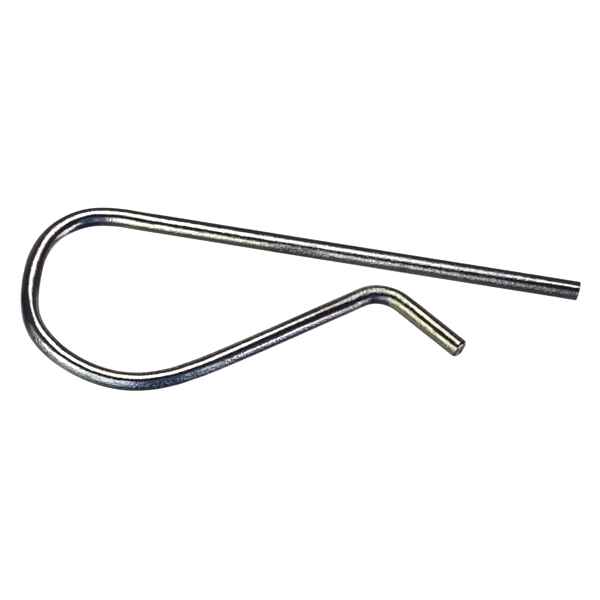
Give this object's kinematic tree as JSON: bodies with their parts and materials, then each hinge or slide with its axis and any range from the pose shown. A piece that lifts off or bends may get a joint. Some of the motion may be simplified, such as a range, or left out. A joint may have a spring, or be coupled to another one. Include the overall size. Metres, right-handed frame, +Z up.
{
  "type": "hitch pin clip",
  "caption": "Bent spring wire clip with a straight leg that goes through a hitch pin's cross hole, a round spring loop, and a humped arm that snaps over the pin's shaft.",
  "frame": {"origin": "under the middle of the clip's outline, on the surface that it lies on", "axes": "+X along the straight leg, away from the loop and out of its free end; +Y from the arm towards the leg; +Z up, across the flat clip"},
  "size_m": [0.0958, 0.0374, 0.0032],
  "materials": {
    "zinc_wire": "bright zinc plate on drawn spring wire, with drawing lines and a faint yellow and blue bloom"
  },
  "bodies": {
    "root": {"spring_wire": "zinc_wire"}
  },
  "joints": []
}
